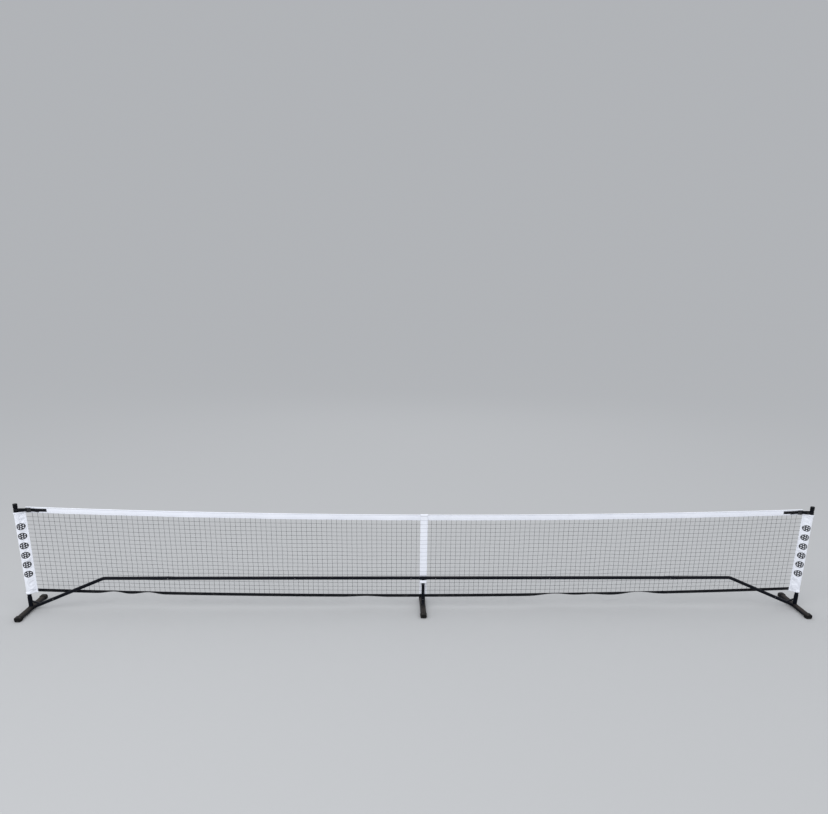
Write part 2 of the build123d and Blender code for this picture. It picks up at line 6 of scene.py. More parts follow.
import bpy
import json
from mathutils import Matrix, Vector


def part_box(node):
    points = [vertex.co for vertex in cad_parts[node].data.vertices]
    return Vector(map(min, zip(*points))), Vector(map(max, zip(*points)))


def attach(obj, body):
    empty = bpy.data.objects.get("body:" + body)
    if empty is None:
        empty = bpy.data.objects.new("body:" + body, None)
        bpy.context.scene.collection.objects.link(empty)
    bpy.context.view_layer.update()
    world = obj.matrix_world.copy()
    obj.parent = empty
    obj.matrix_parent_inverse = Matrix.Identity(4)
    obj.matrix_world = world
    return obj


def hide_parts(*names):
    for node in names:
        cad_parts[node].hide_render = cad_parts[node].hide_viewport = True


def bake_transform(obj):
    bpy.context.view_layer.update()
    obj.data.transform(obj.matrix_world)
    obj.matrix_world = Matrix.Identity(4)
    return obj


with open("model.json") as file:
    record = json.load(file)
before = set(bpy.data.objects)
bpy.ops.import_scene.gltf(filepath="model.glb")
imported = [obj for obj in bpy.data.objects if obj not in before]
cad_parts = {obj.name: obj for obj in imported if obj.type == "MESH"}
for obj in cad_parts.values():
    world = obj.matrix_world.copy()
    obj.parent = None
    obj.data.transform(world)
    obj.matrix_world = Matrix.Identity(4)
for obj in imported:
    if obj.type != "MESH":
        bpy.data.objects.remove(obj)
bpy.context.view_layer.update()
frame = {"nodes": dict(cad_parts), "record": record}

import json
import math

import bmesh
import bpy
import numpy as np
from mathutils import Matrix

SIDES = {"left": -1, "right": 1}
FRAME_BODY = "frame"
TAU = 2 * math.pi
MM = 0.001

# ---- Places and sizes, read from the frame ----


def centre(node):
    """Middle of a CAD node's box."""
    low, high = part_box(node)
    return (low + high) / 2


TAPE_DEPTH = 50.8 * MM
BOTTOM_DEPTH = 28 * MM
tape_low, tape_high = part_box("top_tape")
bottom_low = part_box("bottom_tape")[0]
sleeve_low, sleeve_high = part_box("right_sleeve")
post_low, post_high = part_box("right_post")
strap_low, strap_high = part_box("right_tension_strap")
buckle_low, buckle_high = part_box("right_buckle_frame")
tab_low, tab_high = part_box("right_tape_tab")
band_low, band_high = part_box("centre_band")
leg_low, leg_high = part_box("centre_leg")
collar_low, collar_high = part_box("centre_strap")

NET_Y = centre("top_tape").y
NET_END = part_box("right_net_panel")[1].x
TOP_MIDDLE = tape_low.z + TAPE_DEPTH
SAG = tape_high.z - TOP_MIDDLE
BOTTOM_MIDDLE = bottom_low.z
POST_X = centre("right_post").x
POST_RADIUS = (post_high.x - post_low.x) / 2
SEAM_X = sleeve_low.x
STRAP_Z = centre("right_tension_strap").z


def sag(x):
    """How far the net's edges have risen above their middle at x, along a shallow arc."""
    radius = (NET_END**2 + SAG**2) / (2 * SAG)
    return radius - np.sqrt(radius**2 - np.asarray(x, float) ** 2)


# ---- Small tools ----


def ripple(seed, count, shortest, longest):
    """A smooth repeatable wobble along a line, between about -1 and 1."""
    random = np.random.default_rng(seed)
    waves = random.uniform(shortest, longest, count)
    phases = random.uniform(0, TAU, count)

    def wobble(x):
        x = np.asarray(x, float)
        return sum(np.sin(TAU * x / w + p) for w, p in zip(waves, phases)) / math.sqrt(count) / 1.4

    return wobble


def bump(x, middle, half_width):
    """1 at the middle, falling smoothly to 0 at half_width either side."""
    t = np.clip(1 - np.abs(np.asarray(x, float) - middle) / half_width, 0, 1)
    return t * t * (3 - 2 * t)


def add_mesh(name, points, faces, uvs, material, smooth=True):
    """A mesh object from points, faces and one UV pair per face corner."""
    mesh = bpy.data.meshes.new(name)
    mesh.from_pydata([tuple(p) for p in points], [], [tuple(f) for f in faces])
    layer = mesh.uv_layers.new(name="UVMap")
    layer.data.foreach_set("uv", np.asarray(uvs, np.float32).ravel())
    mesh.polygons.foreach_set("use_smooth", [smooth] * len(mesh.polygons))
    mesh.materials.append(material)
    shell = bmesh.new()
    shell.from_mesh(mesh)
    bmesh.ops.recalc_face_normals(shell, faces=shell.faces)
    shell.to_mesh(mesh)
    shell.free()
    mesh.update()
    piece = bpy.data.objects.new(name, mesh)
    bpy.context.scene.collection.objects.link(piece)
    return piece


class Shape:
    """Collects points, faces and UVs from several strokes, then becomes one object."""

    def __init__(self):
        self.points = []
        self.faces = []
        self.uvs = []

    def rings(self, rings, capped=True):
        """Skins closed rings of points, in order. UVs are metres along, and metres round."""
        rings = np.asarray(rings, float)
        count, around = rings.shape[:2]
        first = len(self.points)
        self.points += list(rings.reshape(-1, 3))
        steps = np.linalg.norm(np.diff(rings.mean(1), axis=0), axis=1)
        along = np.concatenate([[0], np.cumsum(steps)])
        closed = np.concatenate([rings[0], rings[0][:1]])
        round_it = np.concatenate([[0], np.cumsum(np.linalg.norm(np.diff(closed, axis=0), axis=1))])
        for i in range(count - 1):
            for j in range(around):
                k = (j + 1) % around
                a = first + i * around
                b = a + around
                self.faces.append((a + j, a + k, b + k, b + j))
                self.uvs += [
                    (along[i], round_it[j]),
                    (along[i], round_it[j + 1]),
                    (along[i + 1], round_it[j + 1]),
                    (along[i + 1], round_it[j]),
                ]
        if capped:
            for start, order in ((first, -1), (first + (count - 1) * around, 1)):
                face = tuple(start + j for j in range(around))[::order]
                self.faces.append(face)
                self.uvs += [(0, round_it[j - start]) for j in face]

    def blob(self, middle, axes, sides=4):
        """A small double cone along axes[0], such as a stitch or a knot."""
        middle = np.asarray(middle, float)
        long_axis, wide, high = (np.asarray(a, float) for a in axes)
        first = len(self.points)
        self.points += [middle - long_axis, middle + long_axis]
        for k in range(sides):
            angle = TAU * (k + 0.5) / sides
            self.points.append(middle + wide * math.cos(angle) + high * math.sin(angle))
        for k in range(sides):
            a = first + 2 + k
            b = first + 2 + (k + 1) % sides
            self.faces += [(first, b, a), (first + 1, a, b)]
            self.uvs += [(0, 0), (0.001, 0), (0.001, 0.001)] * 2

    def make(self, name, material, smooth=True):
        return add_mesh(name, self.points, self.faces, self.uvs, material, smooth)


def tube_rings(path, radius, u, v, sides):
    """Rings of a cord whose cross-section is spanned by the fixed directions u and v."""
    path = np.asarray(path, float)
    angles = TAU * np.arange(sides) / sides
    section = np.outer(np.cos(angles), u) + np.outer(np.sin(angles), v)
    radius = np.broadcast_to(np.asarray(radius, float), len(path))
    return path[:, None, :] + radius[:, None, None] * section[None]


def ribbon_rings(path, width_dir, width, thickness, edge_points=3):
    """Rings of flat webbing with rounded edges, that follows a path in the plane square to width_dir."""
    path = np.asarray(path, float)
    tangent = np.gradient(path, axis=0)
    tangent /= np.linalg.norm(tangent, axis=1)[:, None]
    width_dir = np.broadcast_to(np.asarray(width_dir, float), path.shape)
    normal = np.cross(tangent, width_dir)
    normal /= np.linalg.norm(normal, axis=1)[:, None]
    half = width / 2 - thickness / 2
    outline = []
    for sign in (1, -1):
        for angle in np.linspace(math.pi / 2, -math.pi / 2, edge_points + 2):
            outline.append((sign * (half + math.cos(angle) * thickness / 2), sign * math.sin(angle)))
        inner = np.linspace(sign * half, -sign * half, 6)[1:-1]
        outline += [(w, -sign) for w in inner]
    across = np.array([o[0] for o in outline])
    through = np.array([o[1] for o in outline]) * thickness / 2
    return (
        path[:, None, :]
        + across[None, :, None] * width_dir[:, None, :]
        + through[None, :, None] * normal[:, None, :]
    )


def smooth_path(corners, step, rounding):
    """A polyline through corners, resampled evenly and with its corners eased."""
    corners = np.asarray(corners, float)
    lengths = np.concatenate([[0], np.cumsum(np.linalg.norm(np.diff(corners, axis=0), axis=1))])
    count = max(4, int(lengths[-1] / step))
    even = np.linspace(0, lengths[-1], count)
    path = np.stack([np.interp(even, lengths, corners[:, k]) for k in range(3)], 1)
    for _ in range(rounding):
        path[1:-1] = 0.25 * path[:-2] + 0.5 * path[1:-1] + 0.25 * path[2:]
    return path


# ---- Materials ----


class Shader:
    """A node material, built with few words."""

    def __init__(self, name):
        self.material = bpy.data.materials.new(name)
        self.material.use_nodes = True
        self.tree = self.material.node_tree
        self.surface = self.tree.nodes["Principled BSDF"]
        where = self.node("ShaderNodeTexCoord")
        self.place = where.outputs["Object"]
        self.uv = where.outputs["UV"]

    def node(self, kind, **settings):
        node = self.tree.nodes.new(kind)
        self.set(node, **settings)
        return node

    def set(self, node, **settings):
        for key, value in settings.items():
            name = key.replace("_", " ")
            if key.startswith("input"):
                target = node.inputs[int(key[5:])]
            elif name in node.inputs:
                target = node.inputs[name]
            else:
                setattr(node, key, value)
                continue
            if isinstance(value, bpy.types.NodeSocket):
                self.tree.links.new(value, target)
            else:
                target.default_value = value

    def maths(self, operation, a, b=0.0, c=0.0):
        node = self.node("ShaderNodeMath", operation=operation, input0=a, input1=b, input2=c)
        return node.outputs[0]

    def noise(self, scale, detail=3.0, stretch=(1, 1, 1), vector=None):
        """A noise texture's value, at `scale` features a metre, optionally drawn out along an axis."""
        scaled = self.node(
            "ShaderNodeVectorMath",
            operation="MULTIPLY",
            input0=vector or self.place,
            input1=tuple(scale * s for s in stretch),
        )
        texture = self.node("ShaderNodeTexNoise", Vector=scaled.outputs[0], Scale=1.0, Detail=detail)
        return texture.outputs["Fac"]

    def between(self, value, low, high):
        """0 below low, 1 above high, smooth in between."""
        node = self.node("ShaderNodeMapRange", interpolation_type="SMOOTHSTEP")
        self.set(node, Value=value)
        node.inputs["From Min"].default_value = low
        node.inputs["From Max"].default_value = high
        return node.outputs[0]

    def mix(self, share, a, b):
        """A colour between a and b."""
        node = self.node("ShaderNodeMix", data_type="RGBA")
        for socket, value in ((node.inputs[0], share), (node.inputs[6], a), (node.inputs[7], b)):
            if isinstance(value, bpy.types.NodeSocket):
                self.tree.links.new(value, socket)
            else:
                socket.default_value = value if isinstance(value, float) else (*value, 1.0)
        return node.outputs[2]

    def level(self, value, low, high):
        """A 0 to 1 value turned into low to high."""
        return self.maths("MULTIPLY_ADD", value, high - low, low)

    def relief(self, height, strength, distance, normal=None):
        node = self.node("ShaderNodeBump", Height=height, Strength=strength, Distance=distance)
        if normal is not None:
            self.set(node, Normal=normal)
        return node.outputs[0]

    def split(self, vector):
        return self.node("ShaderNodeSeparateXYZ", Vector=vector).outputs

    def up(self):
        """How far a surface faces upwards, 0 to 1."""
        normal = self.node("ShaderNodeNewGeometry").outputs["Normal"]
        return self.maths("MAXIMUM", self.split(normal)["Z"], 0.0)

    def weave(self, pitch_along, pitch_across):
        """Height of a plain weave whose threads have these pitches, from the UVs in metres."""
        u, v, _ = self.split(self.uv)
        along = self.maths("SINE", self.maths("MULTIPLY", u, TAU / pitch_along))
        across = self.maths("SINE", self.maths("MULTIPLY", v, TAU / pitch_across))
        return self.maths("MULTIPLY_ADD", self.maths("MULTIPLY", along, across), 0.5, 0.5)


def powder_coat():
    """Satin black powder coat: orange peel, a light brown on upward faces that is partly dust and partly a
    painted highlight of light falling on the tops, rubbed edges and light scuffs.
    """
    s = Shader("powder_coat")
    dust_and_highlight_patches = s.between(s.noise(9, 5), 0.42, 0.75)
    # low down, on the feet, the light brown on top is stronger: partly dust, partly a painted highlight on
    # the feet's tops
    low_down = s.maths("SUBTRACT", 1.0, s.between(s.split(s.place)["Z"], 0.03, 0.07))
    gritty = s.level(s.between(s.noise(160, 5), 0.3, 0.6), 0.5, 2.6)
    dust_and_highlight_patches = s.maths("ADD", dust_and_highlight_patches, s.maths("MULTIPLY", low_down, gritty))
    # dust and painted highlight: the mask grows on upward faces, where light falls
    dust = s.maths("MULTIPLY", dust_and_highlight_patches, s.maths("POWER", s.up(), 2.0))
    scuff = s.between(s.noise(60, 6, (0.25, 1, 1)), 0.66, 0.72)
    bevel = s.node("ShaderNodeBevel", Radius=1.2 * MM, samples=4)
    flat = s.node("ShaderNodeNewGeometry").outputs["Normal"]
    turn = s.node("ShaderNodeVectorMath", operation="DOT_PRODUCT", input0=bevel.outputs[0], input1=flat)
    edge = s.between(s.maths("SUBTRACT", 1.0, turn.outputs["Value"]), 0.02, 0.12)
    rubbed = s.maths("MULTIPLY", edge, s.between(s.noise(140, 4), 0.45, 0.62))
    colour = s.mix(s.noise(4, 2), (0.0022, 0.0032, 0.006), (0.0038, 0.005, 0.0085))
    # painted highlight and dust: upward faces turn light brown
    colour = s.mix(s.maths("MULTIPLY", dust, 0.14), colour, (0.10, 0.085, 0.07))
    colour = s.mix(s.maths("MULTIPLY", scuff, 0.25), colour, (0.05, 0.05, 0.052))
    colour = s.mix(s.maths("MULTIPLY", rubbed, 0.7), colour, (0.16, 0.16, 0.165))
    rough = s.maths("ADD", s.level(s.noise(30, 4), 0.3, 0.46), s.maths("MULTIPLY", dust, 0.2))
    peel = s.relief(s.noise(650, 2), 0.25, 0.12 * MM)
    bare = s.maths("MULTIPLY", rubbed, 0.6)
    s.set(s.surface, Base_Color=colour, Roughness=rough, Normal=peel)
    s.set(s.surface, Metallic=bare, Specular_IOR_Level=0.07)
    return s.material


def rubber():
    """Moulded black rubber, greyed with court dust low down."""
    s = Shader("boot_rubber")
    height = s.split(s.place)["Z"]
    low_down = s.maths("SUBTRACT", 1.0, s.between(height, 0.0, 0.02))
    dust = s.maths("MULTIPLY", s.between(s.noise(70, 5), 0.35, 0.7), s.maths("MAXIMUM", low_down, s.up()))
    colour = s.mix(s.noise(20, 3), (0.004, 0.004, 0.0045), (0.008, 0.0078, 0.0078))
    colour = s.mix(s.maths("MULTIPLY", dust, 0.3), colour, (0.11, 0.10, 0.09))
    s.set(
        s.surface,
        Base_Color=colour,
        Roughness=s.level(s.noise(120, 4), 0.62, 0.85),
        Normal=s.relief(s.noise(900, 3), 0.35, 0.2 * MM),
        Specular_IOR_Level=0.12,
    )
    return s.material


def cap_plastic():
    """Spark-textured black plastic."""
    s = Shader("cap_plastic")
    s.set(
        s.surface,
        Base_Color=s.mix(s.noise(35, 3), (0.0025, 0.003, 0.0045), (0.005, 0.0055, 0.0075)),
        Roughness=s.level(s.noise(90, 3), 0.38, 0.55),
        Normal=s.relief(s.noise(1800, 2), 0.3, 0.1 * MM),
        Specular_IOR_Level=0.08,
    )
    return s.material


def plated_steel(name, dark, light, stretch):
    """Dark zinc-plated steel with drawn-out brushing and dull patches."""
    s = Shader(name)
    grain = s.noise(700, 3, stretch)
    patch = s.between(s.noise(90, 4), 0.4, 0.7)
    s.set(
        s.surface,
        Base_Color=s.mix(patch, dark, light),
        Metallic=1.0,
        Roughness=s.maths("ADD", s.level(grain, 0.22, 0.4), s.maths("MULTIPLY", patch, 0.1)),
        Normal=s.relief(grain, 0.2, 0.05 * MM),
    )
    return s.material


def cloth(name, dark, light, pitch, roughness=0.72, grime=0.10, extra=None):
    """Woven cloth: thread relief, uneven tone, a little grime and a soft sheen."""
    s = Shader(name)
    threads = s.weave(pitch, pitch)
    tone = s.level(s.noise(5, 4), 0.0, 1.0)
    colour = s.mix(tone, dark, light)
    dirt = s.between(s.noise(14, 6), 0.5, 0.85)
    colour = s.mix(s.maths("MULTIPLY", dirt, grime), colour, (0.30, 0.29, 0.27))
    colour = s.mix(s.maths("MULTIPLY", threads, 0.12), colour, tuple(c * 0.6 for c in dark))
    if extra:
        colour = extra(s, colour)
    normal = s.relief(threads, 0.35, 0.18 * MM, s.relief(s.noise(260, 3), 0.2, 0.3 * MM))
    s.set(s.surface, Base_Color=colour, Roughness=roughness, Normal=normal)
    s.set(s.surface, Sheen_Weight=0.25, Sheen_Roughness=0.5)
    return s.material


PRINT_LOW = 0.29
PRINT_COUNT = 6
PRINT_PITCH = 0.085
PRINT_RADIUS = 0.029
HOLE_RADIUS = 0.0046
HOLE_CIRCLE = 0.0175
HOLES = 6


def ball_print(s, colour):
    """A column of plain perforated balls, printed dark on the sleeve."""
    x, _, z = s.split(s.place)
    middle = (SEAM_X + sleeve_high.x) / 2
    across = s.maths("SUBTRACT", s.maths("ABSOLUTE", x), middle)
    run = s.maths("SUBTRACT", z, PRINT_LOW)
    cell = s.maths("SUBTRACT", s.maths("MODULO", run, PRINT_PITCH), PRINT_PITCH / 2)
    radius = s.maths("SQRT", s.maths("ADD", s.maths("POWER", across, 2.0), s.maths("POWER", cell, 2.0)))
    disc = s.maths("LESS_THAN", radius, PRINT_RADIUS)
    started = s.maths("GREATER_THAN", run, 0.0)
    inside = s.maths("MULTIPLY", started, s.maths("LESS_THAN", run, PRINT_COUNT * PRINT_PITCH))
    sector = TAU / HOLES
    angle = s.maths("ARCTAN2", cell, across)
    fold = s.maths("SUBTRACT", s.maths("MODULO", s.maths("ADD", angle, TAU), sector), sector / 2)
    side = s.maths("MULTIPLY", radius, s.maths("SINE", fold))
    out = s.maths("SUBTRACT", s.maths("MULTIPLY", radius, s.maths("COSINE", fold)), HOLE_CIRCLE)
    reach = s.maths("SQRT", s.maths("ADD", s.maths("POWER", side, 2.0), s.maths("POWER", out, 2.0)))
    off_centre = s.maths("GREATER_THAN", radius, HOLE_RADIUS)
    solid = s.maths("MULTIPLY", s.maths("GREATER_THAN", reach, HOLE_RADIUS), off_centre)
    ink = s.maths("MULTIPLY", s.maths("MULTIPLY", disc, inside), solid)
    worn = s.level(s.between(s.noise(220, 5), 0.3, 0.42), 0.93, 1.0)
    return s.mix(s.maths("MULTIPLY", ink, worn), colour, (0.008, 0.009, 0.013))


def twisted_cord(name, dark, light, lay):
    """Twisted cord: strands run round as the UV runs along."""
    s = Shader(name)
    u, v, _ = s.split(s.uv)
    turns = s.maths("ADD", s.maths("MULTIPLY", u, 1 / lay), s.maths("MULTIPLY", v, 1 / (TAU * MM)))
    strand = s.maths("MULTIPLY_ADD", s.maths("SINE", s.maths("MULTIPLY", turns, TAU)), 0.5, 0.5)
    colour = s.mix(strand, dark, light)
    dusty = s.maths("MULTIPLY", s.between(s.noise(11, 5), 0.55, 0.85), 0.2)
    colour = s.mix(dusty, colour, (0.05, 0.05, 0.055))
    s.set(s.surface, Base_Color=colour, Roughness=0.66, Normal=s.relief(strand, 0.6, 0.3 * MM))
    s.set(s.surface, Sheen_Weight=0.05, Specular_IOR_Level=0.12)
    return s.material


def webbing(name, dark, light, grime):
    """Close-woven webbing: strong crosswise ribs with a fine lengthwise thread."""
    s = Shader(name)
    u, v, _ = s.split(s.uv)
    rib = s.maths("SINE", s.maths("MULTIPLY", u, TAU / (2.2 * MM)))
    thread = s.maths("SINE", s.maths("MULTIPLY", v, TAU / (1.1 * MM)))
    height = s.maths("MULTIPLY_ADD", s.maths("MULTIPLY", rib, thread), 0.5, 0.5)
    colour = s.mix(height, dark, light)
    dirt = s.maths("MULTIPLY", s.between(s.noise(25, 5), 0.5, 0.8), grime)
    colour = s.mix(dirt, colour, (0.2, 0.195, 0.185))
    s.set(s.surface, Base_Color=colour, Roughness=0.7, Normal=s.relief(height, 0.5, 0.3 * MM))
    s.set(s.surface, Sheen_Weight=0.03, Specular_IOR_Level=0.06)
    return s.material


MESH_ROWS = 19
MESH_LOW = BOTTOM_MIDDLE + BOTTOM_DEPTH
MESH_HIGH = TOP_MIDDLE - TAPE_DEPTH
MESH_ROW_PITCH = (MESH_HIGH - MESH_LOW) / MESH_ROWS


def cords_show_through_and_painted_shadow(s, colour):
    """Dark lines along the cord rows behind the band: partly the black cords showing through its thin
    cloth, partly painted shadow of the cords.
    """
    height = s.split(s.place)["Z"]
    run = s.maths("SUBTRACT", height, MESH_LOW - 10 * MESH_ROW_PITCH)
    cell = s.maths("SUBTRACT", s.maths("MODULO", run, MESH_ROW_PITCH), MESH_ROW_PITCH / 2)
    cord_row_show_through_and_shadow = s.between(s.maths("ABSOLUTE", cell), MESH_ROW_PITCH / 2 - 4 * MM, MESH_ROW_PITCH / 2)
    # painted shadow and show-through: the band darkens toward blue-grey along each cord row
    return s.mix(s.maths("MULTIPLY", cord_row_show_through_and_shadow, 0.45), colour, (0.2, 0.21, 0.25))


WHITE_DARK = (0.74, 0.765, 0.84)
WHITE_LIGHT = (0.84, 0.86, 0.92)
BLACK_DARK = (0.003, 0.0035, 0.005)
BLACK_LIGHT = (0.010, 0.011, 0.014)

finish = {
    "powder_coated_steel": powder_coat(),
    "rubber_boot": rubber(),
    "black_plastic": cap_plastic(),
    "zinc_steel": plated_steel("button_steel", (0.10, 0.10, 0.11), (0.22, 0.22, 0.23), (1, 1, 0.2)),
    "buckle_steel": plated_steel("buckle_steel", (0.045, 0.046, 0.05), (0.075, 0.076, 0.08), (0.15, 1, 1)),
    "white_vinyl": cloth("tape_cloth", WHITE_DARK, WHITE_LIGHT, 1.1 * MM),
    "white_webbing": cloth("band_cloth", WHITE_DARK, WHITE_LIGHT, 1.6 * MM, extra=cords_show_through_and_painted_shadow),
    "black_webbing": webbing("black_webbing", BLACK_DARK, BLACK_LIGHT, 0.12),
    "net_cord": twisted_cord("net_cord", BLACK_DARK, BLACK_LIGHT, 5 * MM),
}
sleeve_cloth = cloth("sleeve_cloth", WHITE_DARK, WHITE_LIGHT, 1.1 * MM, extra=ball_print)
strap_cloth = webbing("white_webbing", WHITE_DARK, WHITE_LIGHT, 0.1)
white_thread = cloth("white_thread", (0.66, 0.68, 0.74), (0.84, 0.86, 0.9), 0.6 * MM, grime=0.05)
black_thread = cloth("black_thread", BLACK_DARK, (0.035, 0.036, 0.04), 0.6 * MM, grime=0.0)

# CAD pieces whose shape is right keep it, and get their finish
slots = {row["node"]: row["material_slot"] for row in frame["record"]["subparts"]}
for node, cad_object in frame["nodes"].items():
    cad_object.data.materials.clear()
    cad_object.data.materials.append(finish[slots[node]])


def follow_net(piece, side, *nodes):
    """A piece of the net, baked into place; the CAD nodes it stands for are hidden."""
    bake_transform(piece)
    if nodes:
        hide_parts(*nodes)
    return piece


# ---- Snap springs: one for each button ----


def islands(mesh):
    """The separate closed pieces of a mesh, as lists of bmesh faces, with the bmesh that owns them."""
    whole = bmesh.new()
    whole.from_mesh(mesh)
    bmesh.ops.remove_doubles(whole, verts=whole.verts, dist=1e-6)
    left = set(whole.faces)
    found = []
    while left:
        island = [left.pop()]
        for face in island:
            near = {other for vert in face.verts for other in vert.link_faces} & left
            left -= near
            island += near
        found.append(sorted(island, key=lambda face: face.index))
    return whole, found


def make_springs():
    buttons = {node: centre(node) for node in frame["nodes"] if node.endswith("_button")}
    whole, found = islands(frame["nodes"]["snap_springs"].data)
    whole.verts.index_update()
    for island in found:
        verts = sorted({vert for face in island for vert in face.verts}, key=lambda vert: vert.index)
        place = {vert: k for k, vert in enumerate(verts)}
        points = np.array([vert.co for vert in verts])
        middle = points.mean(0)
        button = min(buttons, key=lambda node: np.linalg.norm(np.array(buttons[node]) - middle))
        faces = [tuple(place[vert] for vert in face.verts) for face in island]
        corners = sum(len(face) for face in faces)
        name = button.replace("_button", "_spring")
        spring = add_mesh(name, points, faces, [(0, 0)] * corners, finish["zinc_steel"], False)
        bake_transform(spring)
        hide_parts("snap_springs")
    whole.free()


make_springs()

# ---- Mesh of the net ----

MESH_PITCH = 42.5 * MM
CORD_RADIUS = 1.05 * MM
KNOT = 2.0 * MM
SEGMENTS = 3
drift_x = ripple(11, 5, 0.35, 1.3)
drift_z = ripple(12, 5, 0.3, 1.1)
drift_y = ripple(13, 5, 0.5, 1.9)
tall_wobble = ripple(14, 4, 0.2, 0.7)


def net_point(x, share):
    """A point of the hanging mesh: x along it, share 0 at the bottom tape and 1 at the top tape."""
    x = np.asarray(x, float)
    share = np.asarray(share, float)
    low = MESH_LOW + sag(x)
    depth = MESH_HIGH - MESH_LOW
    loose = np.sin(np.pi * share) * bump(x, math.copysign(NET_END / 2, x.mean() or 1), NET_END / 2) ** 0.4
    points = np.empty((*np.broadcast(x, share).shape, 3))
    points[..., 0] = x + 2.6 * MM * loose * drift_x(x + 2 * share) * tall_wobble(share)
    points[..., 1] = NET_Y + 3.0 * MM * loose * (0.4 + drift_y(x + share))
    points[..., 2] = low + depth * share + 3.4 * MM * loose * drift_z(x + 0.7 * share) - 2.0 * MM * loose
    return points


def net_half(side):
    """Half the mesh: square cords with a small knot at each crossing."""
    sign = SIDES[side]
    shape = Shape()
    columns = int(round((NET_END - MESH_PITCH / 2) / MESH_PITCH))
    column_x = sign * (MESH_PITCH / 2 + MESH_PITCH * np.arange(columns))
    for x in column_x:
        share = np.linspace(-0.004, 1.004, MESH_ROWS * SEGMENTS + 1)
        path = net_point(np.full_like(share, x), share)
        shape.rings(tube_rings(path, CORD_RADIUS, (1, 0, 0), (0, 1, 0), 5))
    edges = np.concatenate([[0], np.abs(column_x), [SEAM_X + 2 * MM]])
    spots = [np.linspace(a, b, SEGMENTS, endpoint=False) for a, b in zip(edges[:-1], edges[1:])]
    along = sign * np.concatenate([*spots, edges[-1:]])
    for row in range(1, MESH_ROWS):
        path = net_point(along, np.full_like(along, row / MESH_ROWS))
        shape.rings(tube_rings(path, CORD_RADIUS, (0, 1, 0), (0, 0, 1), 5))
        for knot in net_point(column_x, np.full_like(column_x, row / MESH_ROWS)):
            shape.blob(knot, ((KNOT * 1.15, 0, KNOT * 0.5), (0, KNOT, 0), (-KNOT * 0.4, 0, KNOT)), sides=6)
    piece = shape.make(side + "_net_mesh", finish["net_cord"])
    return follow_net(piece, side, side + "_net_panel")


for side in SIDES:
    net_half(side)

# ---- Top tape: cloth folded over a cord, with two rows of stitching ----

HEM = 3.6 * MM
STITCH_ROWS = (11 * MM, 46.5 * MM)
STITCH_STEP = 4.4 * MM
STITCH_REACH = 1.5 * MM
STITCH_WIDTH = 0.45 * MM
STITCH_HEIGHT = 0.35 * MM
LEVEL_STITCH = ((STITCH_REACH, 0, 0), (0, 0, STITCH_WIDTH), (0, STITCH_HEIGHT, 0))
UPRIGHT_STITCH = ((0, 0, STITCH_REACH), (STITCH_WIDTH, 0, 0), (0, STITCH_HEIGHT, 0))
# half thickness of the folded tape at depths below its top edge, from the hem's foot down
TAPE_PROFILE = (
    (8.5, 1.7),
    (11, 1.15),
    (15, 1.7),
    (24, 2.1),
    (34, 2.0),
    (43, 1.6),
    (46.5, 1.15),
    (49.5, 1.45),
    (50.8, 0.5),
)
tape_bow = ripple(21, 6, 0.25, 1.2)
tape_edge = ripple(22, 6, 0.12, 0.6)
tape_pucker = ripple(23, 3, 0.012, 0.019)


def tape_half_thickness(depth):
    depths = [row[0] * MM for row in TAPE_PROFILE]
    return np.interp(depth, depths, [row[1] * MM for row in TAPE_PROFILE])


def tape_point(x, depth, offset):
    """A point of the top tape, `depth` below its top edge and `offset` in front of or behind its middle."""
    free = min(1.0, (NET_END - abs(x)) / 0.15, abs(x) / 0.05)
    lean = 1.6 * MM * tape_bow(x) * (depth / TAPE_DEPTH) * free
    wave = 0.7 * MM * tape_edge(x) * (depth / TAPE_DEPTH) * free
    return (x, NET_Y + offset + lean, TOP_MIDDLE + sag(x) - depth + wave)


def top_tape_half(side):
    sign = SIDES[side]
    stations = sign * np.linspace(0, NET_END, 560)
    hem_angles = np.radians(np.linspace(-55, 235, 13))
    rings = []
    for x in stations:
        pucker = 1 + 0.16 * tape_pucker(x)
        hem = [(HEM - HEM * math.sin(a), HEM * math.cos(a)) for a in hem_angles]
        fall = [(d * MM, h * MM * pucker) for d, h in TAPE_PROFILE]
        front = [(d, -h) for d, h in fall]
        outline = [(d, o) for d, o in hem] + front + [(d, h) for d, h in reversed(fall)]
        rings.append([tape_point(x, d, o) for d, o in outline])
    shape = Shape()
    shape.rings(rings)
    tape = shape.make(side + "_top_tape", finish["white_vinyl"])
    follow_net(tape, side, "top_tape", "top_cord")

    stitches = Shape()
    for depth in STITCH_ROWS:
        for face in (-1, 1):
            for x in sign * np.arange(STITCH_STEP, NET_END - STITCH_STEP, STITCH_STEP):
                offset = face * (tape_half_thickness(depth) + 0.15 * MM)
                stitches.blob(tape_point(x, depth, offset), LEVEL_STITCH)
    thread = stitches.make(side + "_top_tape_stitching", white_thread)
    follow_net(thread, side)


for side in SIDES:
    top_tape_half(side)

# ---- Bottom tape: black webbing that twists a little where it hangs slack ----

# middle and reach along X, and turn in radians, of each slack stretch; its lower edge swings back
TWISTS = (
    (-2.67, 0.16, -0.85),
    (-2.38, 0.16, -0.85),
    (-0.50, 0.22, -0.45),
    (1.18, 0.28, -0.95),
    (1.50, 0.20, -0.60),
    (1.93, 0.26, -1.05),
)


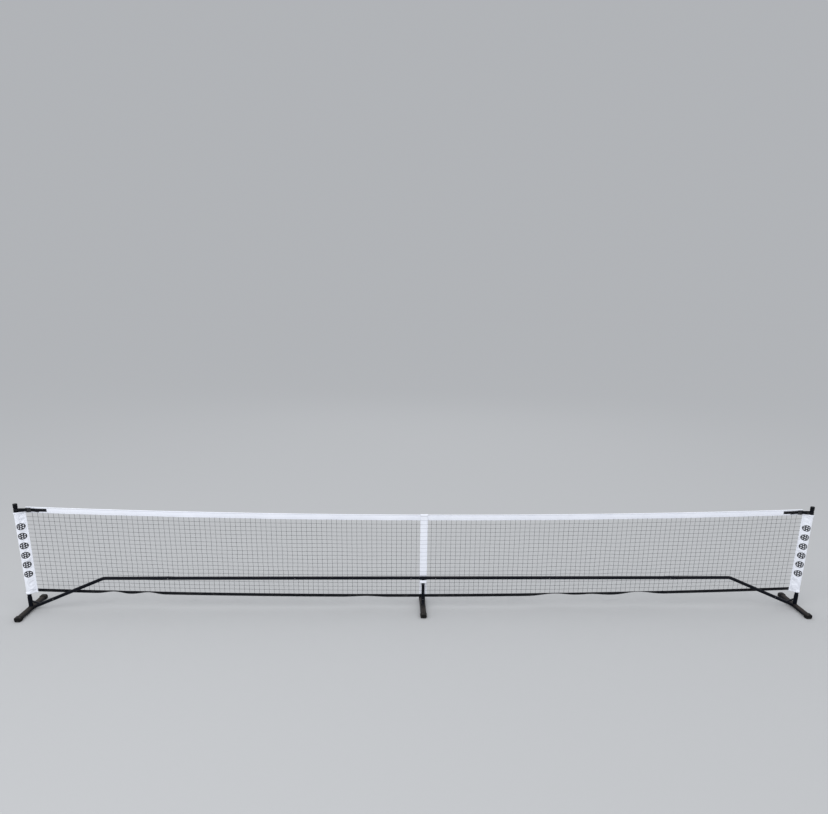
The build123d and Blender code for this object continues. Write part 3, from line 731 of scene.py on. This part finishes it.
def bottom_half(side):
    sign = SIDES[side]
    x = sign * np.linspace(0, SEAM_X, 420)
    twist = sum(turn * bump(x, middle, reach) for middle, reach, turn in TWISTS)
    free = np.minimum(1, (SEAM_X - np.abs(x)) / 0.2)
    across = np.stack([0 * x, np.sin(twist * free), np.cos(twist * free)], 1)
    sewn_edge = np.stack([x, NET_Y + 0 * x, MESH_LOW + sag(x)], 1)
    path = sewn_edge - across * BOTTOM_DEPTH / 2
    shape = Shape()
    shape.rings(ribbon_rings(path, across, BOTTOM_DEPTH, 2.4 * MM))
    tape = shape.make(side + "_bottom_tape", finish["black_webbing"])
    follow_net(tape, side, "bottom_tape")


for side in SIDES:
    bottom_half(side)

# ---- Sleeves: cloth round each post, wrinkled by simulation ----

SLEEVE_ROUND = 56
SLEEVE_RINGS = 110
SLEEVE_CLOTH = 0.9 * MM
FLANGE = 14 * MM
HEM_DEPTH = 15 * MM
# how far the hem's doubled cloth stands out, in millimetres, from its edge to its stitched end
HEM_SWELL = (0.2, 1.5, 1.6, 1.5, 0.2)
LOOSE_RADIUS = sleeve_high.x - POST_X
WRINKLE_CAP = 6 * MM


def sleeve_outline():
    """The sleeve's section for the right-hand post: round the post, then in to a flat seam."""
    seam = np.array([SEAM_X + 1 * MM, NET_Y])
    join = seam + (FLANGE, 0)
    middle = np.array([POST_X, 0.0])
    radius = LOOSE_RADIUS - SLEEVE_CLOTH
    gap = join - middle
    sight = math.atan2(gap[1], gap[0])
    spread = math.acos(radius / np.linalg.norm(gap))
    arc = np.linspace(sight + spread, sight - spread + TAU, 32)
    round_post = [middle + radius * np.array([math.cos(a), math.sin(a)]) for a in arc]
    half_gap = np.array([0, 0.9 * MM])
    corners = [seam - half_gap, join - half_gap, *round_post, join + half_gap, seam + half_gap]
    corners = np.array(corners + corners[:1])
    lengths = np.concatenate([[0], np.cumsum(np.linalg.norm(np.diff(corners, axis=0), axis=1))])
    even = np.linspace(0, lengths[-1], SLEEVE_ROUND, endpoint=False)
    return np.stack([np.interp(even, lengths, corners[:, k]) for k in range(2)], 1)


def clear_of_post(points, sign):
    """Moves cloth out of the post where it has sunk into it."""
    out = points[:, :2] - (sign * POST_X, 0)
    reach = np.linalg.norm(out, axis=1)
    least = POST_RADIUS + 1.5 * MM
    points[:, :2] += out * (np.maximum(least / reach, 1) - 1)[:, None]
    return points


def wrinkle(piece, pinned, collider, sign):
    """Lets the cloth grow a few percent between its pinned rows, so that it buckles as cloth does."""
    rest = np.array([v.co for v in piece.data.vertices])
    group = piece.vertex_groups.new(name="pinned")
    group.add([int(i) for i in pinned], 1.0, "REPLACE")
    cloth_modifier = piece.modifiers.new("cloth", "CLOTH")
    settings = cloth_modifier.settings
    settings.vertex_group_mass = "pinned"
    settings.quality = 6
    settings.mass = 0.25
    settings.tension_stiffness = 25
    settings.compression_stiffness = 25
    settings.bending_stiffness = 1.2
    settings.shrink_min = -0.035
    settings.effector_weights.gravity = 0.4
    cloth_modifier.collision_settings.distance_min = 0.0015
    cloth_modifier.collision_settings.use_self_collision = False
    collider.modifiers.new("collision", "COLLISION")
    collider.collision.thickness_outer = 0.001
    scene = bpy.context.scene
    for step in range(1, 23):
        scene.frame_set(step)
    graph = bpy.context.evaluated_depsgraph_get()
    settled = piece.evaluated_get(graph).to_mesh()
    moved = np.array([v.co for v in settled.vertices])
    piece.evaluated_get(graph).to_mesh_clear()
    piece.modifiers.clear()
    collider.modifiers.clear()
    scene.frame_set(1)
    shift = moved - rest
    length = np.linalg.norm(shift, axis=1)
    shift *= (np.minimum(length, WRINKLE_CAP) / np.maximum(length, 1e-9))[:, None]
    settled_points = clear_of_post(rest + shift, sign)
    piece.data.vertices.foreach_set("co", settled_points.astype(np.float32).ravel())
    piece.data.update()


sleeve_wobble = ripple(41, 5, 0.08, 0.3)
sleeve_fold = ripple(42, 5, 0.03, 0.12)


def make_sleeve(side):
    sign = SIDES[side]
    outline = sleeve_outline()
    heights = np.linspace(sleeve_low.z, sleeve_high.z, SLEEVE_RINGS)
    rings = []
    for z in heights:
        slack = np.clip((min(z - sleeve_low.z, sleeve_high.z - z) - HEM_DEPTH) / 0.03, 0, 1)
        ring = outline.copy()
        out = ring - (POST_X, 0)
        out /= np.linalg.norm(out, axis=1)[:, None]
        free = np.clip((ring[:, 0] - SEAM_X - FLANGE) / 0.03, 0, 1)
        turn = np.arctan2(out[:, 1], out[:, 0])
        push = 1.3 * MM * slack * free * (sleeve_wobble(z + 0.06 * turn + 3 * sign) - 0.4)
        push += 0.6 * MM * slack * free * sleeve_fold(z - 0.05 * turn + 5 * sign)
        ring = ring + out * push[:, None]
        rings.append(np.column_stack([sign * ring[:, 0], ring[:, 1], np.full(len(ring), z)]))
    shape = Shape()
    shape.rings(rings, capped=False)
    piece = shape.make(side + "_sleeve_cloth", sleeve_cloth)
    seam_columns = np.flatnonzero(outline[:, 0] < SEAM_X + FLANGE)
    rows = np.arange(SLEEVE_RINGS)
    hem_rows = [r for r in rows if min(heights[r] - heights[0], heights[-1] - heights[r]) < HEM_DEPTH]
    pinned = {r * SLEEVE_ROUND + c for r in rows for c in seam_columns}
    pinned |= {r * SLEEVE_ROUND + c for r in hem_rows for c in range(SLEEVE_ROUND)}
    post_skin = frame["nodes"][side + "_post"].copy()
    post_skin.data = post_skin.data.copy()
    post_skin.parent = None
    bpy.context.scene.collection.objects.link(post_skin)
    wrinkle(piece, sorted(pinned), post_skin, sign)
    bpy.data.objects.remove(post_skin)
    thick = piece.modifiers.new("thickness", "SOLIDIFY")
    thick.thickness = SLEEVE_CLOTH
    thick.offset = 1.0
    soften = piece.modifiers.new("soften", "SUBSURF")
    soften.levels = 1
    soften.render_levels = 1
    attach(piece, side + "_post_body")
    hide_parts(side + "_sleeve")

    # rolled hems, top and bottom, and the stitching of hems and seam
    hems = Shape()
    stitches = Shape()
    tangents = np.roll(outline, -1, axis=0) - np.roll(outline, 1, axis=0)
    tangents /= np.linalg.norm(tangents, axis=1)[:, None]
    normals = np.column_stack([tangents[:, 1], -tangents[:, 0]])
    for edge, inward in ((sleeve_low.z, 1), (sleeve_high.z, -1)):
        rows = edge + inward * HEM_DEPTH * np.array([0, 0.05, 0.5, 0.95, 1])
        band = []
        for z, grow in zip(rows, HEM_SWELL):
            ring = outline + normals * grow * MM
            band.append(np.column_stack([sign * ring[:, 0], ring[:, 1], np.full(len(ring), z)]))
        hems.rings(band + band[:1], capped=False)
        z = edge + inward * (HEM_DEPTH - 2.5 * MM)
        for (x, y), (out_x, out_y) in zip(outline + normals * 1.75 * MM, normals):
            run = (-sign * out_y * 1.5 * MM, out_x * 1.5 * MM, 0)
            lift = (sign * out_x * 0.4 * MM, out_y * 0.4 * MM, 0)
            stitches.blob((sign * x, y, z), (run, (0, 0, 0.45 * MM), lift))
    for z in np.arange(sleeve_low.z + HEM_DEPTH, sleeve_high.z - HEM_DEPTH, STITCH_STEP):
        for inset in (4 * MM, 10 * MM):
            for face in (-1, 1):
                spot = (sign * (SEAM_X + inset), NET_Y + face * 2.1 * MM, z)
                stitches.blob(spot, ((0, 0, STITCH_REACH), (STITCH_WIDTH, 0, 0), (0, 0.4 * MM, 0)))
    sewn = ((hems, "_sleeve_hems", sleeve_cloth), (stitches, "_sleeve_stitching", white_thread))
    for part, name, material in sewn:
        made = part.make(side + name, material)
        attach(made, side + "_post_body")


for side in SIDES:
    make_sleeve(side)

# ---- Tension strap, tape tab and their stitching ----

WEBBING = 1.5 * MM
STRAP_WIDTH = strap_high.z - strap_low.z
PLATE_FRONT = buckle_high.y - 1.6 * MM
BAR_INSET = 1.5 * MM
WRAP = strap_high.x - POST_X - WEBBING / 2


def box_stitch(shape, sign, start, end, y, z_at, half_height):
    """A stitched box with a cross in it, on the front of flat webbing between two x places."""
    corners = [(start, -1), (end, -1), (end, 1), (start, 1), (start, -1), (end, 1), (end, -1), (start, 1)]
    for (xa, va), (xb, vb) in zip(corners[:-1], corners[1:]):
        length = math.hypot(xb - xa, (vb - va) * half_height)
        count = max(2, int(length / (3 * MM)))
        direction = np.array([sign * (xb - xa), 0, (vb - va) * half_height]) / length
        for share in (np.arange(count) + 0.5) / count:
            x = xa + (xb - xa) * share
            z = z_at(x) + (va + (vb - va) * share) * half_height
            side_way = np.cross(direction, (0, 1, 0))
            shape.blob((sign * x, y, z), (direction * 1.1 * MM, side_way * 0.4 * MM, (0, 0.35 * MM, 0)))


def strap_set(side):
    sign = SIDES[side]
    stitches = Shape()

    def plan(points, z):
        return [(sign * x, y, z(x) if callable(z) else z) for x, y in points]

    # round the post, both ends at the buckle
    angles = np.radians(np.linspace(-112, 90, 40))
    wrap = [(POST_X + WRAP * math.cos(a), WRAP * math.sin(a)) for a in angles]
    outer_bar = buckle_high.x - BAR_INSET
    under_cam = PLATE_FRONT - 0.25 * MM - WEBBING / 2
    behind = buckle_high.y + 1.2 * MM
    tail = [
        (buckle_low.x - 62 * MM, PLATE_FRONT - 1.2 * MM),
        (buckle_low.x - 20 * MM, PLATE_FRONT - 4 * MM),
    ]
    front = tail + [(buckle_low.x + 3 * MM, under_cam), (buckle_high.x - 4 * MM, under_cam)]
    back = [
        (outer_bar + 26 * MM, behind + 1.0 * MM),
        (outer_bar + 2.5 * MM, behind),
        (outer_bar - 3.6 * MM, behind - 0.4 * MM),
        (outer_bar - 3.6 * MM, PLATE_FRONT - 0.4 * MM),
        (outer_bar + 2.4 * MM, PLATE_FRONT - 0.5 * MM),
        (outer_bar + 8 * MM, PLATE_FRONT + 0.9 * MM),
        (outer_bar + 30 * MM, behind - 1.1 * MM),
    ]
    droop = lambda x: STRAP_Z - 9 * MM * max(0.0, (buckle_low.x - x) / (62 * MM)) ** 2
    path = smooth_path(plan(front + wrap + back, droop), 1.6 * MM, 2)
    shape = Shape()
    shape.rings(ribbon_rings(path, (0, 0, 1), STRAP_WIDTH, WEBBING))
    strap = shape.make(side + "_tension_strap_webbing", finish["black_webbing"])
    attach(strap, side + "_post_body")
    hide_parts(side + "_tension_strap")

    # tab sewn on the tape, its end folded round the buckle's inner bar
    tab_z = lambda x: TOP_MIDDLE - TAPE_DEPTH / 2 + float(sag(min(x, tab_high.x)))
    on_tape = NET_Y - 1.5 * MM - 0.9 * WEBBING
    inner_bar = buckle_low.x + BAR_INSET
    fold = [
        (tab_low.x, on_tape),
        (inner_bar - 8 * MM, on_tape),
        (inner_bar + 3.6 * MM, buckle_high.y + 0.9 * MM),
        (inner_bar + 3.6 * MM, PLATE_FRONT - 0.6 * MM),
        (inner_bar - 3.6 * MM, PLATE_FRONT - 0.6 * MM),
        (inner_bar - 12 * MM, on_tape - WEBBING - 0.1 * MM),
        (inner_bar - 42 * MM, on_tape - WEBBING - 0.1 * MM),
    ]
    path = smooth_path(plan(fold, tab_z), 1.6 * MM, 2)
    shape = Shape()
    shape.rings(ribbon_rings(path, (0, 0, 1), STRAP_WIDTH, WEBBING))
    tab = shape.make(side + "_tape_tab_webbing", finish["black_webbing"])
    follow_net(tab, side, side + "_tape_tab")

    inset = STRAP_WIDTH / 2 - 3 * MM
    front_face = on_tape - WEBBING / 2 - 0.1 * MM
    box_stitch(stitches, sign, tab_low.x + 4 * MM, tab_low.x + 34 * MM, front_face, tab_z, inset)
    fold_face = front_face - WEBBING - 0.1 * MM
    box_stitch(stitches, sign, inner_bar - 39 * MM, inner_bar - 15 * MM, fold_face, tab_z, inset)
    middle = (tab_low.x + tab_high.x) / 2 - 6 * MM
    box_stitch(stitches, sign, middle - 14 * MM, middle + 14 * MM, front_face, tab_z, inset)
    thread = stitches.make(side + "_tab_stitching", black_thread)
    follow_net(thread, side)


for side in SIDES:
    strap_set(side)

# ---- Centre band and centre strap ----

BAND_HALF = (band_high.x - band_low.x) / 2
band_wave = ripple(51, 5, 0.1, 0.5)
band_edge = ripple(52, 5, 0.06, 0.3)


def band_relief(x, z):
    """How far the cords behind the band lift its cloth."""
    row = (z - MESH_LOW) / MESH_ROW_PITCH
    row_lift = np.exp(-(((row - np.round(row)) * MESH_ROW_PITCH / (3.2 * MM)) ** 2))
    column_lift = np.exp(-(((np.abs(x) - MESH_PITCH / 2) / (3.0 * MM)) ** 2))
    on_mesh = (z > MESH_LOW) * (z < MESH_HIGH)
    return 0.7 * MM * np.maximum(row_lift, column_lift) * on_mesh


def make_band():
    """A flat loop of cloth round the net, front and back, with folded side edges."""
    front, back = band_low.y, band_high.y
    bottom, top = band_low.z, band_high.z
    curve = 4 * MM
    middle = (front + back) / 2
    heights = np.arange(bottom + curve, top - curve, 5 * MM)
    turn = np.linspace(0.3, 2.84, 7)
    half = middle - front
    over = [(middle - half * math.cos(a), top - curve + curve * math.sin(a)) for a in turn]
    under = [(middle + half * math.cos(a), bottom + curve - curve * math.sin(a)) for a in turn]
    loop = [(front, z) for z in heights] + over + [(back, z) for z in heights[::-1]] + under
    widths = np.linspace(-1, 1, 23)
    rings = []
    for w in widths:
        ring = []
        for y, z in loop:
            face = -1 if y < middle else 1
            flat = 1.0 if min(z - bottom, top - z) > 0.02 else 0.3
            x = w * (BAND_HALF + 0.8 * MM * float(band_edge(z)) * flat)
            lift = float(band_relief(x, z)) - 0.5 * MM * float(band_wave(z + 0.1 * w)) * flat
            hem = 0.35 * MM if abs(w) > 0.8 else 0.0
            ring.append((x, y + face * (lift * 0.6 + hem), z))
        rings.append(ring)
    shape = Shape()
    shape.rings(rings, capped=False)
    band = shape.make("centre_band_cloth", finish["white_webbing"])
    thick = band.modifiers.new("thickness", "SOLIDIFY")
    thick.thickness = 0.9 * MM
    thick.offset = 0.0
    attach(band, FRAME_BODY)
    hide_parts("centre_band")

    stitches = Shape()
    for z in np.arange(bottom + 12 * MM, top - 12 * MM, STITCH_STEP):
        for x in (-BAND_HALF + 4.5 * MM, BAND_HALF - 4.5 * MM):
            for face, y in ((-1, front), (1, back)):
                lift = 0.6 * float(band_relief(x, z)) + 0.75 * MM
                spot = (x, y + face * lift, z)
                stitches.blob(spot, UPRIGHT_STITCH)
    thread = stitches.make("centre_band_stitching", white_thread)
    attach(thread, FRAME_BODY)


def make_centre_strap():
    """Hook-and-loop strap: from the band's sides round the front of the leg."""
    leg_radius = (leg_high.x - leg_low.x) / 2
    front = -(leg_radius + 1.4 * MM)
    half = collar_high.x
    right_half = [
        (leg_radius - 4 * MM, front),
        (leg_radius + 6 * MM, front + 0.5 * MM),
        (half - 2 * MM, front + 2.5 * MM),
        (half, front + 8 * MM),
        (half, band_low.y - 3 * MM),
        (half - 4 * MM, band_low.y - 1.3 * MM),
        (half - 14 * MM, band_low.y - 1.3 * MM),
    ]
    plan = [(-x, y) for x, y in reversed(right_half)] + right_half
    middle = (collar_low.z + collar_high.z) / 2
    path = smooth_path([(x, y, middle) for x, y in plan], 1.5 * MM, 2)
    shape = Shape()
    shape.rings(ribbon_rings(path, (0, 0, 1), collar_high.z - collar_low.z, WEBBING))
    strap = shape.make("centre_strap_webbing", strap_cloth)
    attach(strap, FRAME_BODY)
    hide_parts("centre_strap")


make_band()
make_centre_strap()

# ---- Rubber boots and weld beads ----

BOOT_SQUARENESS = 3.4


def boot(shape, x, tip_y, low, high, half_width):
    """One moulded boot: rounded toe, three grip ribs, a lip where the tube goes in."""
    facing = math.copysign(1, tip_y)
    middle = (low + high) / 2
    half_height = (high - low) / 2
    # share of the full section at distances in from the toe
    stations = [(0, 0.55), (0.8, 0.74), (2.5, 0.88), (5, 0.955), (8, 0.985)]
    for rib in range(3):
        start = 11 + 8 * rib
        stations += [(start, 0.985), (start + 1, 0.94), (start + 2.5, 0.94), (start + 3.5, 0.985)]
    stations += [(38, 0.985), (40, 1.0), (44, 1.0), (45, 0.97), (45, 0.9), (40, 0.87)]
    angles = TAU * np.arange(40) / 40
    power = 2 / BOOT_SQUARENESS
    cos, sin = np.cos(angles), np.sin(angles)
    across = np.sign(cos) * np.abs(cos) ** power * half_width
    upward = np.sign(sin) * np.abs(sin) ** power * half_height
    rings = []
    for inward, share in stations:
        y = tip_y - facing * inward * MM
        z = np.maximum(middle + upward * share, low)
        z = np.where(upward < -0.8 * half_height, low + (1 - min(1, share + 0.015)) * 6 * MM, z)
        rings.append(np.column_stack([x + across * share, np.full(40, y), z]))
    if facing > 0:
        rings = [ring[::-1] for ring in rings]
    shape.rings(rings)


def make_boots(node):
    low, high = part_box(node)
    shape = Shape()
    for tip in (low.y, high.y):
        boot(shape, (low.x + high.x) / 2, tip, low.z, high.z, (high.x - low.x) / 2)
    piece = shape.make(node + "_moulded", finish["rubber_boot"])
    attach(piece, FRAME_BODY)
    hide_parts(node)


for node in ("left_foot_boots", "right_foot_boots", "centre_foot_boots"):
    make_boots(node)


def bead(name, points, radius=2.2 * MM):
    """A rippled weld bead along a closed or open run of points."""
    points = np.asarray(points, float)
    along = np.concatenate([[0], np.cumsum(np.linalg.norm(np.diff(points, axis=0), axis=1))])
    tangent = np.gradient(points, axis=0)
    tangent /= np.linalg.norm(tangent, axis=1)[:, None]
    side_way = np.cross(tangent, (0, 0, 1))
    side_way /= np.maximum(np.linalg.norm(side_way, axis=1), 1e-6)[:, None]
    other = np.cross(tangent, side_way)
    ripples = radius * (1 + 0.14 * np.sin(TAU * along / (3.2 * MM)))
    angles = TAU * np.arange(8) / 8
    section = np.cos(angles)[None, :, None] * side_way[:, None]
    section = section + np.sin(angles)[None, :, None] * other[:, None]
    shape = Shape()
    shape.rings(points[:, None] + ripples[:, None, None] * section)
    piece = shape.make(name, finish["powder_coated_steel"])
    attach(piece, FRAME_BODY)


def foot_top(foot_node, offset_x):
    """Height of the flat-oval foot's upper surface at offset_x from its middle line."""
    low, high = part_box(foot_node)
    half_height = (high.z - low.z) / 2
    flat = (high.x - low.x) / 2 - half_height
    past = np.clip(np.abs(offset_x) - flat, 0, half_height * 0.999)
    return (low.z + high.z) / 2 + np.sqrt(half_height**2 - past**2)


def socket_bead(socket_node, foot_node):
    low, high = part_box(socket_node)
    radius = (high.x - low.x) / 2
    middle_x = (low.x + high.x) / 2
    angles = np.linspace(0, TAU, 180)
    dx = radius * np.cos(angles)
    points = np.column_stack([middle_x + dx, radius * np.sin(angles), foot_top(foot_node, dx) + 0.3 * MM])
    bead(socket_node + "_weld", points)


for side in SIDES:
    socket_bead(side + "_post_socket", side + "_foot_tube")
socket_bead("centre_leg_socket", "centre_foot_tube")

# ---- Floor, light and camera ----

FLOOR_REACH = 60
FLOOR = (0.40, 0.405, 0.41)
SKY = (1.1, 1.12, 1.16)


def make_stage():
    floor_mesh = bpy.data.meshes.new("floor")
    corners = [(x * FLOOR_REACH, y * FLOOR_REACH, 0) for x, y in ((-1, -1), (1, -1), (1, 1), (-1, 1))]
    floor_mesh.from_pydata(corners, [], [(0, 1, 2, 3)])
    floor = bpy.data.objects.new("floor", floor_mesh)
    bpy.context.scene.collection.objects.link(floor)
    s = Shader("floor_paint")
    s.set(s.surface, Base_Color=(*FLOOR, 1), Roughness=0.95, Specular_IOR_Level=0.0)
    floor_mesh.materials.append(s.material)

    world = bpy.data.worlds.new("soft_sky")
    bpy.context.scene.world = world
    world.use_nodes = True
    tree = world.node_tree
    background = tree.nodes["Background"]
    background.inputs["Color"].default_value = (*SKY, 1)
    # seen directly it is close to the distant floor's tone, which keeps the horizon faint
    backdrop = tree.nodes.new("ShaderNodeBackground")
    backdrop.inputs["Color"].default_value = (*[a * b for a, b in zip(SKY, FLOOR)], 1)
    path = tree.nodes.new("ShaderNodeLightPath")
    choose = tree.nodes.new("ShaderNodeMixShader")
    tree.links.new(path.outputs["Is Camera Ray"], choose.inputs[0])
    tree.links.new(background.outputs[0], choose.inputs[1])
    tree.links.new(backdrop.outputs[0], choose.inputs[2])
    tree.links.new(choose.outputs[0], tree.nodes["World Output"].inputs["Surface"])

    for name, place, size, power in (
        ("key", (-4.0, -6.0, 7.5), 5.0, 290),
        ("fill", (6.0, -4.0, 6.0), 7.0, 60),
        ("rim", (0.5, 8.0, 7.0), 8.0, 60),
    ):
        data = bpy.data.lights.new(name, "AREA")
        data.size = size
        data.energy = power
        light = bpy.data.objects.new(name, data)
        light.location = place
        aim = -light.location.normalized()
        light.rotation_mode = "QUATERNION"
        light.rotation_quaternion = aim.to_track_quat("-Z", "Y")
        bpy.context.scene.collection.objects.link(light)


LENS = 30.20
SHIFT_X, SHIFT_Y = -0.0149, 0.115
VIEWPOINT = (-0.260, -5.595, 2.685)
PITCH = math.radians(-16.92)
ROLL = math.radians(1.044)
YAW = math.radians(-2.814)
SENSOR_WIDTH = 36


def make_camera():
    """The reference viewpoint: from the front, above the net's height, with the frame shifted up."""
    data = bpy.data.cameras.new("camera")
    data.lens = LENS
    data.sensor_width = SENSOR_WIDTH
    data.shift_x = SHIFT_X
    data.shift_y = SHIFT_Y
    camera = bpy.data.objects.new("camera", data)
    bpy.context.scene.collection.objects.link(camera)
    camera.location = VIEWPOINT
    tilt = Matrix.Rotation(math.pi / 2 + PITCH, 3, "X")
    turn = Matrix.Rotation(YAW, 3, "Z") @ tilt @ Matrix.Rotation(ROLL, 3, "Z")
    camera.rotation_euler = turn.to_euler()
    bpy.context.scene.camera = camera


make_stage()
make_camera()
bpy.context.scene.view_settings.view_transform = "Standard"
bpy.context.view_layer.update()
